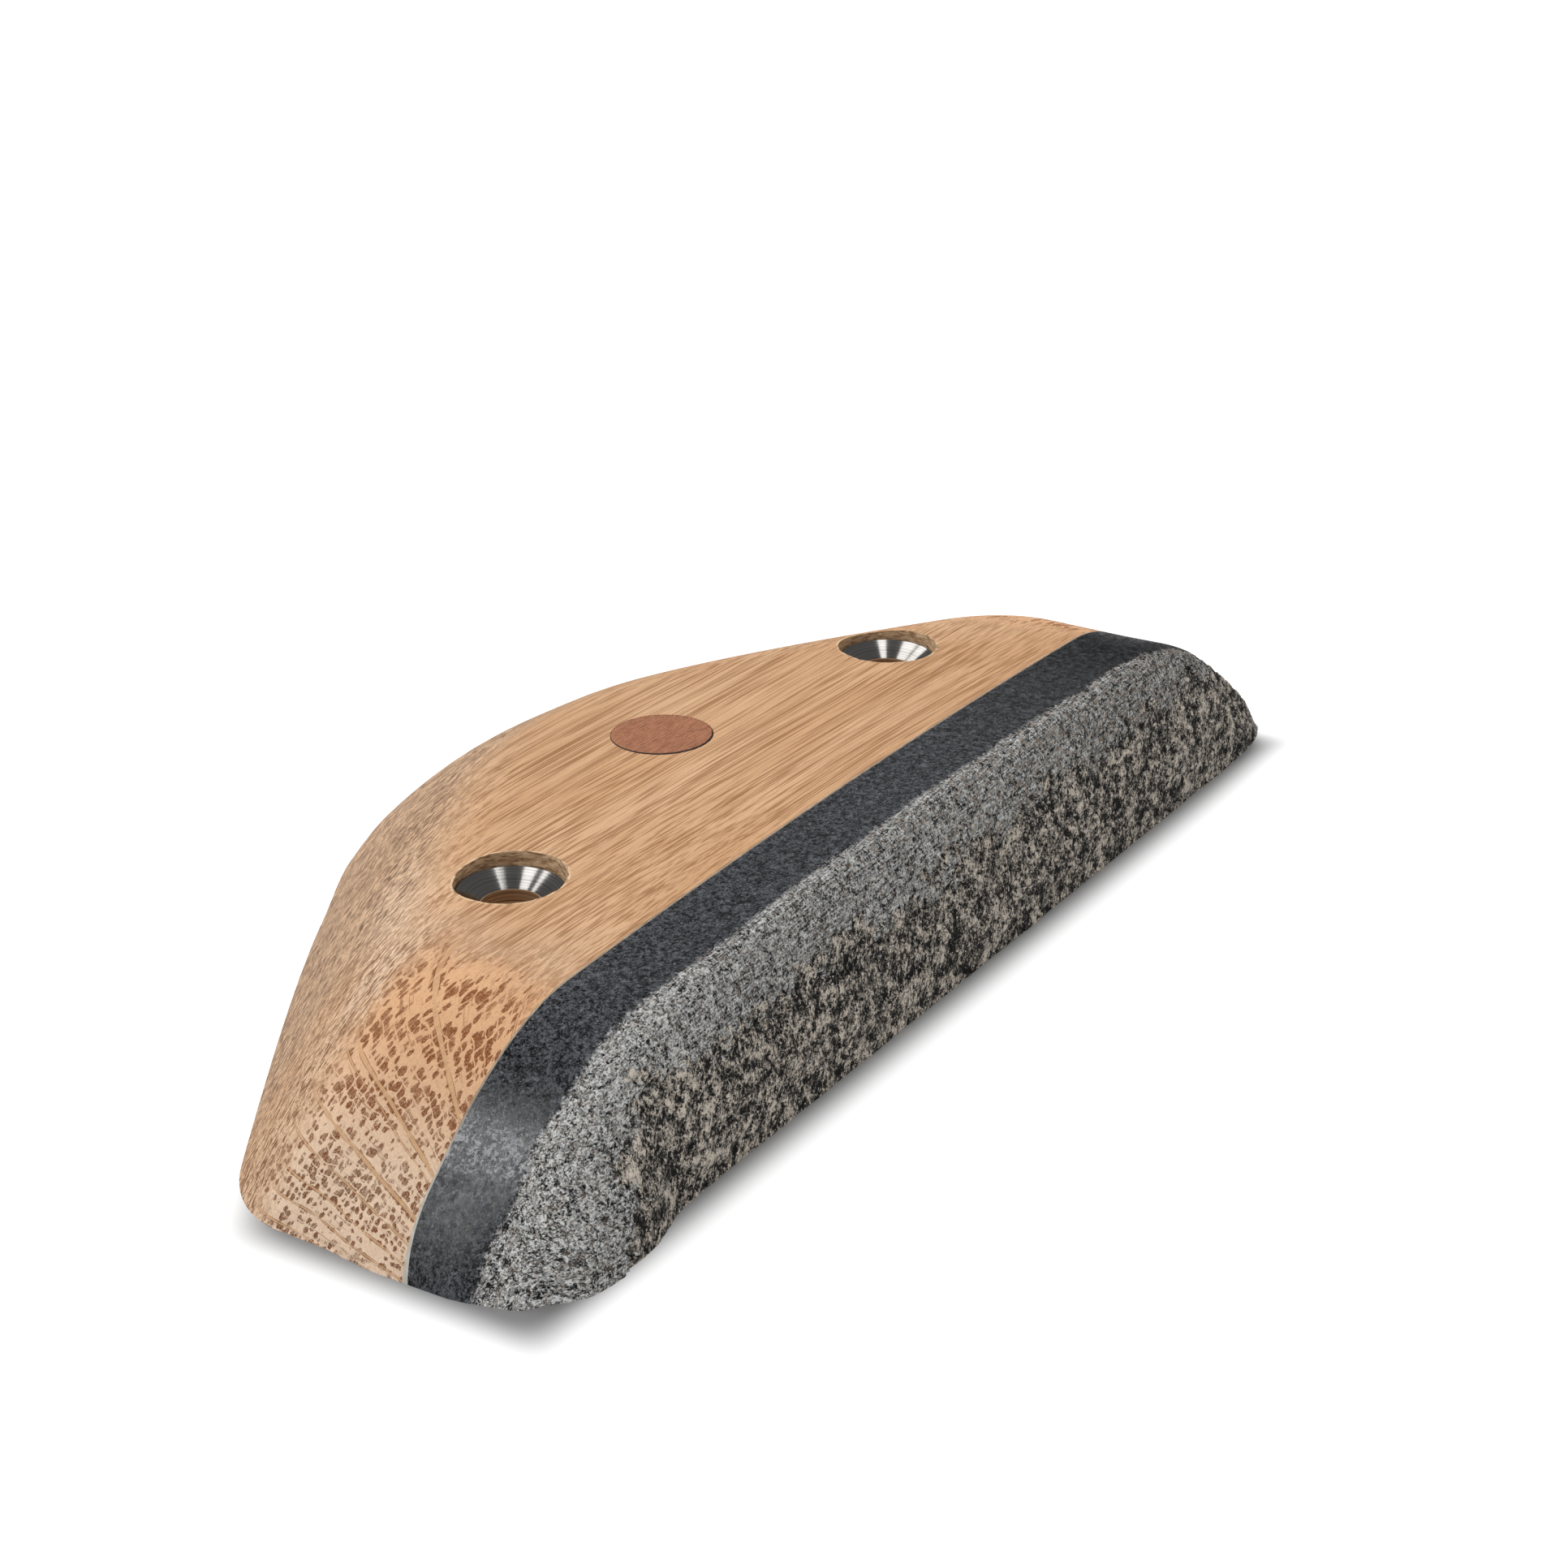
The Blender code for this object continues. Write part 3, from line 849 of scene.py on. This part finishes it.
def relief_tree(formula):
    """Return a geometry tree that stores a formula of the place at each point."""
    tree = bpy.data.node_groups.new("relief", "GeometryNodeTree")
    for direction in ("INPUT", "OUTPUT"):
        tree.interface.new_socket("Geometry", in_out=direction, socket_type="NodeSocketGeometry")
    source = tree.nodes.new("NodeGroupInput")
    sink = tree.nodes.new("NodeGroupOutput")
    store = tree.nodes.new("GeometryNodeStoreNamedAttribute")
    store.data_type = "FLOAT"
    store.domain = "POINT"
    store.inputs["Name"].default_value = "relief"
    place = tree.nodes.new("GeometryNodeInputPosition")
    height = formula(Field(tree, place.outputs[0]))
    tree.links.new(source.outputs[0], store.inputs["Geometry"])
    tree.links.new(height.socket, store.inputs["Value"])
    tree.links.new(store.outputs[0], sink.inputs[0])
    return tree


def relief_of(mesh, formula):
    """Return a formula's value at each point of a mesh."""
    piece = new_object("measured", mesh)
    modifier = piece.modifiers.new("relief", "NODES")
    modifier.node_group = relief_tree(formula)
    measured = evaluated_mesh(piece)
    values = np.empty(len(measured.vertices))
    measured.attributes["relief"].data.foreach_get("value", values)
    bpy.data.objects.remove(piece, do_unlink=True)
    bpy.data.meshes.remove(measured)
    return values


def step_between(values, low, high):
    """Return 0 below low and 1 above high, or the other way round, with a smooth step between."""
    share = np.clip((values - low) / (high - low), 0, 1)
    return share * share * (3 - 2 * share)


def uneven(points, rest):
    """Return points moved from the even blank to the worn hold, by their places on the blank.

    Both ends swell a little beside the joint near the wall. At the left end, the corner of the stone is
    worn away, the joint leans forward near the wall, where thick adhesive fills it, and the split front
    swells beside the corner. The stone's right end swells all over. The left side of the blunt back
    corner slopes less steeply than the rest of the back.
    """
    x, depth, z = rest[:, 0], rest[:, 1] + MIDDLE_DEPTH, rest[:, 2]
    moved = points.copy()
    ends = step_between(np.abs(x), *END_SWELL_ENDS)
    low = step_between(z, END_SWELL_HEIGHT, 0)
    swell = END_SWELL * step_between(depth, *END_SWELL_FRONT) * step_between(depth, *END_SWELL_BACK)
    loss = CORNER_LOSS * step_between(depth, *CORNER_LOSS_DEPTHS) * (x < 0)
    moved[:, 0] += np.sign(x) * (swell - loss) * ends * low
    right = RIGHT_SWELL * step_between(x, *RIGHT_SWELL_END)
    moved[:, 0] += right * step_between(depth, *RIGHT_SWELL_DEPTHS)

    left = step_between(-x, *JOINT_LEAN_END)
    leaning = np.clip(1 - z / JOINT_LEAN_HEIGHT, 0, 1)
    beside = step_between(np.abs(depth - OAK_FRONT), JOINT_LEAN_REACH, 0)
    moved[:, 1] -= JOINT_LEAN * leaning * leaning * left * beside
    stone_side = step_between(depth, STONE_BACK - JOINT_LEAN_REACH, STONE_BACK)
    stone_side = stone_side * (depth < OAK_FRONT - JOINT_OPENING_EDGE)
    moved[:, 1] -= JOINT_OPENING * leaning * leaning * left * stone_side

    swollen = step_between(-x, *FRONT_SWELL_START) * step_between(-x, *FRONT_SWELL_STOP)
    swollen = swollen * step_between(z, *FRONT_SWELL_HEIGHTS)
    moved[:, 1] -= FRONT_SWELL * swollen * step_between(depth, *FRONT_SWELL_DEPTHS)

    corner = step_between(x, *BACK_LEAN_LEFT) * step_between(x, *BACK_LEAN_RIGHT)
    corner = corner * step_between(depth, *BACK_LEAN_DEPTHS)
    lean = np.clip(BACK_LEAN * (1 - z / BACK_LEAN_LEVEL), -BACK_LEAN_LIMIT, BACK_LEAN_LIMIT)
    moved[:, 1] += lean * corner
    return moved


def carve(mesh, formula):
    """Move the points of the sanded surface in or out by a formula, in millimetres."""
    points = shade(mesh)
    depths = points[:, 1] + MIDDLE_DEPTH
    outside = np.abs(points[:, 2] - surface_height(points[:, 0], depths)) < SURFACE_TOLERANCE
    normals = surface_normal(points[:, 0], depths)
    foot = points[:, 2] < FOOT_TOLERANCE
    normals[foot, 2] = 0
    moves = relief_of(mesh, formula) * MM * outside
    carved = points + normals * moves[:, None]
    carved[:, 2] = np.maximum(carved[:, 2], 0)
    set_points(mesh, uneven(carved, points))


# Pieces


def bolt_places():
    """Give the side, the middle of the rim and the thickness of each washer, from the solids."""
    for side in ("left", "right"):
        low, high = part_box("cup_washer_" + side)
        yield side, ((low[0] + high[0]) / 2, (low[1] + high[1]) / 2, high[2]), high[2] - low[2]


def plug_mesh(name, profile, x, y, steps=ROUND_STEPS):
    """Return a capped turned mesh that stands over a point of the wall."""
    mesh = turned_mesh(name, profile, steps, ends="capped")
    mesh.transform(Matrix.Translation((x, y, 0)))
    return mesh


def rough_radius(radius, roughness, seed):
    """Return a radius for each step of a turn, with smooth random bites."""
    chance = np.random.default_rng(seed)
    total = np.zeros(ROUND_STEPS)
    angles = 2 * math.pi * np.arange(ROUND_STEPS) / ROUND_STEPS
    for waves in ROUGH_WAVES:
        height = chance.normal() / math.sqrt(waves)
        total += height * np.sin(angles * waves + chance.uniform(0, 2 * math.pi))
    return radius + roughness * total / 3


def recess_mesh(place, thickness, seed):
    """Return the cutter of one recess: a drilled wall with a chipped brim."""
    top = surface_height(np.float64(place[0]), place[1] + MIDDLE_DEPTH)
    rim = place[2]
    radius = RECESS_DIAMETER / 2
    rows = [(rough_radius(radius + RECESS_FLARE, BRIM_ROUGHNESS, seed), top + OVERRUN)]
    rows.append((rough_radius(radius + BRIM_WIDENING, BRIM_ROUGHNESS, seed), top + BRIM_ABOVE))
    levels = np.linspace(top - BRIM_BELOW, rim - WALL_ROUGH_STOP, WALL_ROWS)
    for number, level in enumerate(levels):
        rows.append((rough_radius(radius, WALL_ROUGHNESS, seed * 100 + number // 2), level))
    rows.append((radius, rim - WALL_EVEN_START))
    rows.append((radius, rim - thickness - FLOOR_GAP))
    return plug_mesh("recess", rows, place[0], place[1])


def add_piece(name, mesh, material, slot, *nodes):
    """Add a fine piece that stands for nodes of the solids."""
    mesh.materials.clear()
    mesh.materials.append(material)
    piece = new_object(name, mesh)
    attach(piece, "root")
    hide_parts(*nodes)
    return piece


def add_oak(blank):
    """Oak body with its recesses, bolt holes and inlay pocket."""
    cutters = [depth_slab(-OVERRUN, OAK_FRONT)]
    bolts = []
    for number, (side, place, thickness) in enumerate(bolt_places()):
        bolts.append((place[0] / MM, (place[1] + MIDDLE_DEPTH) / MM))
        cutters.append(recess_mesh(place, thickness, RECESS_SEED + number))
        hole = [(BOLT_HOLE_DIAMETER / 2, TOP_HEIGHT + OVERRUN), (BOLT_HOLE_DIAMETER / 2, -OVERRUN)]
        cutters.append(plug_mesh("hole", hole, place[0], place[1]))
    surface = surface_height(np.float64(0), INLAY_DEPTH)
    pocket = [(INLAY_POCKET_DIAMETER / 2, surface + OVERRUN),
              (INLAY_POCKET_DIAMETER / 2, surface - INLAY_THICKNESS - INLAY_GAP)]
    cutters.append(plug_mesh("pocket", pocket, 0, INLAY_DEPTH - MIDDLE_DEPTH))
    mesh = cut_mesh(blank, cutters)
    carve(mesh, oak_relief)
    add_piece("oak_body_fine", mesh, oak_material(bolts), "oak", "oak_body")


def add_stone(blank):
    """Stone edge with its split front."""
    mesh = cut_mesh(blank, [depth_slab(STONE_BACK, APEX_DEPTH)])
    carve(mesh, stone_relief)
    return add_piece("stone_edge_fine", mesh, stone_material(), "granite", "stone_edge")


def add_adhesive(blank):
    """Adhesive that fills the joint."""
    mesh = cut_mesh(blank, [depth_slab(STONE_BACK, OAK_FRONT)], "INTERSECT")
    points = shade(mesh)
    set_points(mesh, uneven(points, points))
    add_piece("adhesive_fine", mesh, adhesive_material(), "adhesive", "adhesive_layer")


def add_washers():
    """Turned cup washers."""
    outer = WASHER_DIAMETER / 2
    bore = WASHER_BORE / 2
    edge = WASHER_EDGE
    material = steel_material()
    for side, place, thickness in bolt_places():
        profile = [(outer - edge, 0), (outer, -edge), (outer, edge - thickness),
                   (outer - edge, -thickness), (bore + edge, -thickness), (bore, edge - thickness),
                   (bore, -SEAT_CONE_DEPTH - edge)]
        for step in range(SEAT_STEPS + 1):
            share = step / SEAT_STEPS
            radius = bore + edge + (outer - bore - 3 * edge) * share
            profile.append((radius, -SEAT_CONE_DEPTH * (1 - share) - edge * (1 - share)))
        mesh = turned_mesh("washer", profile)
        shade(mesh)
        name = "cup_washer_" + side
        piece = add_piece(name + "_fine", mesh, material, "washer_steel", name)
        piece.location = place


def add_inlay():
    """Inlaid disc with a serrated rim, which follows the surface round it."""
    angles = 2 * math.pi * np.arange(INLAY_STEPS) / INLAY_STEPS
    serrated = INLAY_DIAMETER / 2
    for height, count, shift in SERRATIONS:
        serrated = serrated + height * np.sin(angles * count + shift)
    surface = surface_height(np.float64(0), INLAY_DEPTH)
    rows = []
    for share in (1, *np.linspace(0.99, 0.02, INLAY_ROWS)):
        reach = serrated * share
        level = surface_height(np.cos(angles) * reach, INLAY_DEPTH + np.sin(angles) * reach)
        if share == 1:
            level = level - INLAY_RIM_DROP
        rows.append((reach, level))
    rows = rows[::-1] + [(serrated, surface - INLAY_THICKNESS)]
    mesh = plug_mesh("inlay", rows, 0, INLAY_DEPTH - MIDDLE_DEPTH, INLAY_STEPS)
    shade(mesh, INLAY_SHARP_ANGLE)
    add_piece("inlay_disc_fine", mesh, inlay_material(), "inlay_wood", "inlay_disc")


# Studio


def seen_rays(tree):
    """Return 1 on rays that show the background, straight, mirrored or through glass, or else 0."""
    path = tree.nodes.new("ShaderNodeLightPath")
    kinds = ("Camera", "Glossy", "Transmission")
    camera, glossy, transmission = (Field(tree, path.outputs["Is %s Ray" % kind]) for kind in kinds)
    return (camera + glossy + transmission).least(1.0)


def add_floor():
    """White floor, which glows white to the camera except over a painted shadow round the hold, where
    its grey base also shows the real shadow.

    The painted shadow reaches past the left end and the front, and stops short of the other sides.
    """
    signs = ((-1, -1), (1, -1), (1, 1), (-1, 1))
    corners = [(x * FLOOR_REACH, y * FLOOR_REACH, 0) for x, y in signs]
    mesh = new_mesh("floor", corners, [(0, 1, 2, 3)])
    shader = Shader("floor")
    shader["Roughness"].default_value = 1.0
    shader["Specular IOR Level"].default_value = 0.0
    tree = shader.tree
    geometry = tree.nodes.new("ShaderNodeNewGeometry")
    x, depth, _ = in_millimetres(Field(tree, geometry.outputs["Position"]))
    half_span = END_SPAN / 2 / MM
    rounded_x = (x * x + (APEX_ROUNDING / MM) ** 2).math("SQRT")
    past_back = (depth - APEX_DEPTH / MM) * math.cos(BACK_ANGLE) + rounded_x * math.sin(BACK_ANGLE)
    past_painted_shadow = -x - (half_span + SHADOW_LEFT)
    for past_side in (x - (half_span + SHADOW_RIGHT), -depth - SHADOW_FRONT, past_back - SHADOW_BACK):
        past_painted_shadow = past_painted_shadow.math("SMOOTH_MAX", past_side, SHADOW_ROUNDING)
    seen = seen_rays(tree)
    link(shader, "Base Color", coloured(FLOOR_WHITE, FLOOR_GREY, seen))
    shader["Emission Color"].default_value = (1, 1, 1, 1)
    # Painted shadow: the glow fades out near the hold, further past its left end and front
    link(shader, "Emission Strength", past_painted_shadow.rise(-SHADOW_BLUR, SHADOW_BLUR) * FLOOR_GLOW * seen)
    mesh.materials.append(shader.material)
    floor = new_object("floor", mesh)
    return floor


def set_world():
    """World that is white to the camera and a soft light to the rest."""
    world = bpy.data.worlds.new("studio")
    bpy.context.scene.world = world
    world.use_nodes = True
    tree = world.node_tree
    background = tree.nodes["Background"]
    background.inputs["Color"].default_value = (1, 1, 1, 1)
    strength = seen_rays(tree) * (1 - AMBIENT) + AMBIENT
    tree.links.new(strength.socket, background.inputs["Strength"])


def add_cards():
    """Dark cards all round and overhead, which only polished surfaces reflect."""
    rows = []
    for angle in np.linspace(CARD_BOTTOM, CARD_TOP, CARD_ROWS):
        rows.append((CARD_RADIUS * math.cos(angle), CARD_RADIUS * math.sin(angle)))
    mesh = turned_mesh("cards", rows[::-1], CARD_STEPS, ends="open")
    shader = Shader("dark_card")
    shader["Base Color"].default_value = (0, 0, 0, 1)
    shader["Specular IOR Level"].default_value = 0.0
    shader["Emission Color"].default_value = (1, 1, 1, 1)
    shader["Emission Strength"].default_value = CARD_GREY
    mesh.materials.append(shader.material)
    cards = new_object("dark_cards", mesh)
    for ray in ("camera", "diffuse", "transmission", "volume_scatter", "shadow"):
        setattr(cards, "visible_" + ray, False)


def add_softbox(name, direction, distance, width, height, radiance, aim=(0, 0, 0), along=(1, 0, 0)):
    """Add a rectangular lamp that faces a point from a direction, with its width along another."""
    lamp = bpy.data.lights.new(name, "AREA")
    lamp.shape = "RECTANGLE"
    lamp.size = width
    lamp.size_y = height
    lamp.energy = radiance * width * height * math.pi
    box = new_object(name, lamp)
    back = Vector(direction).normalized()
    up = back.cross(Vector(along)).normalized()
    side = up.cross(back)
    turn = Matrix((side, up, back)).transposed().to_4x4()
    box.matrix_world = Matrix.Translation(Vector(aim) + back * distance) @ turn
    return box


def share_out(box, things, state="EXCLUDE"):
    """Keep a lamp's light off some objects, or with the state INCLUDE, off all others."""
    shared = bpy.data.collections.new(box.name + "_shared")
    for thing in things:
        shared.objects.link(thing)
    for member in shared.collection_objects:
        member.light_linking.link_state = state
    box.light_linking.receiver_collection = shared


def add_lights(floor, stone):
    """Soft light from above and behind, with strips that the turned steel reflects as streaks.

    Only the right box reaches the floor, so that the hold's shadow stays whole at its left end too. It
    isn't reflected, and the strips don't reach the stone, whose honed band shines only where it mirrors
    the narrow left box. The front box isn't reflected either, and lights the stone alone, to bring out
    its grain.
    """
    right = add_softbox("right", *RIGHT_BOX)
    right.visible_glossy = False
    left = add_softbox("left", *LEFT_BOX, aim=LEFT_BOX_AIM, along=LEFT_BOX_ALONG)
    share_out(left, [floor])
    front = add_softbox("front", *FRONT_BOX)
    front.visible_glossy = False
    share_out(front, [stone], "INCLUDE")
    for number, lamp in enumerate(STRIPS):
        strip = add_softbox("strip_%d" % number, *lamp, aim=STRIP_AIM, along=STRIP_ALONG)
        share_out(strip, [floor, stone])


def add_camera():
    """Camera at the photograph's place."""
    forward = Vector((math.cos(CAMERA_YAW) * math.cos(CAMERA_PITCH),
                      math.sin(CAMERA_YAW) * math.cos(CAMERA_PITCH), -math.sin(CAMERA_PITCH)))
    level = Vector((math.sin(CAMERA_YAW), -math.cos(CAMERA_YAW), 0))
    down = forward.cross(level)
    right = level * math.cos(CAMERA_ROLL) + down * math.sin(CAMERA_ROLL)
    below = down * math.cos(CAMERA_ROLL) - level * math.sin(CAMERA_ROLL)
    lens = bpy.data.cameras.new("camera")
    lens.lens = CAMERA_LENS
    lens.clip_start = CAMERA_NEAR
    camera = new_object("camera", lens)
    turn = Matrix((right, -below, -forward)).transposed().to_4x4()
    camera.matrix_world = Matrix.Translation(CAMERA_PLACE) @ turn
    bpy.context.scene.camera = camera


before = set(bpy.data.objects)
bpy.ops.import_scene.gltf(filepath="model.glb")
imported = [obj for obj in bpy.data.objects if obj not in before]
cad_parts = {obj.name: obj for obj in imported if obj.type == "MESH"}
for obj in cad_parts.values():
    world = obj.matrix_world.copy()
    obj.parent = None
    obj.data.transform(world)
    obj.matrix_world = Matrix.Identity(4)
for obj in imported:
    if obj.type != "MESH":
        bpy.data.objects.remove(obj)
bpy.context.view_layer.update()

blank = blank_mesh()
stone = add_stone(blank.copy())
add_adhesive(blank.copy())
add_oak(blank.copy())
add_washers()
add_inlay()
floor = add_floor()
set_world()
add_cards()
add_lights(floor, stone)
add_camera()
bpy.context.scene.view_settings.view_transform = "Standard"
